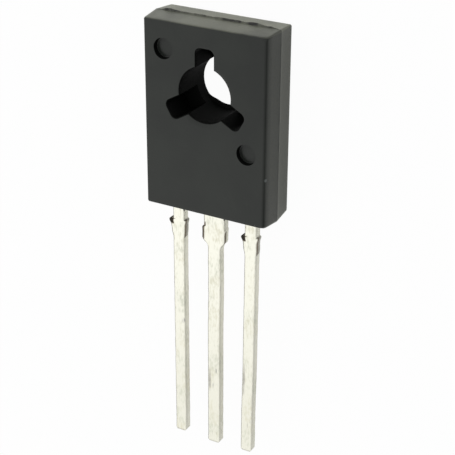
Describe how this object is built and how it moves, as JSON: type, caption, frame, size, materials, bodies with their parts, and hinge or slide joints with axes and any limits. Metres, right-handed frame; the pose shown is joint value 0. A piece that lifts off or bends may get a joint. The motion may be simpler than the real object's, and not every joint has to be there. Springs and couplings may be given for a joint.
{
  "type": "bipolar power transistor",
  "caption": "Flat moulded bipolar power transistor with a lobed screw hole, a bare metal back and straight flat leads in a row at one end.",
  "frame": {"origin": "centre of the screw hole on the flat back face, where the metal plate meets a heatsink", "axes": "+Z out of the holed front face, so the part lies on its metal back; +Y towards the top end of the body, with the leads running towards -Y; +X to the right seen from the front with the leads down"},
  "size_m": [0.0074, 0.0262, 0.0027],
  "materials": {
    "moulding_resin": "fine matt, as moulded",
    "tinned_copper": "satin tin plating",
    "silicon": "polished",
    "solder": "dull",
    "bond_wire": "bright"
  },
  "bodies": {
    "root": {"moulded_body": "moulding_resin", "collector_plate": "tinned_copper", "emitter_lead": "tinned_copper", "base_lead": "tinned_copper", "silicon_die": "silicon", "die_solder": "solder", "emitter_wire": "bond_wire", "base_wire": "bond_wire"}
  },
  "joints": []
}
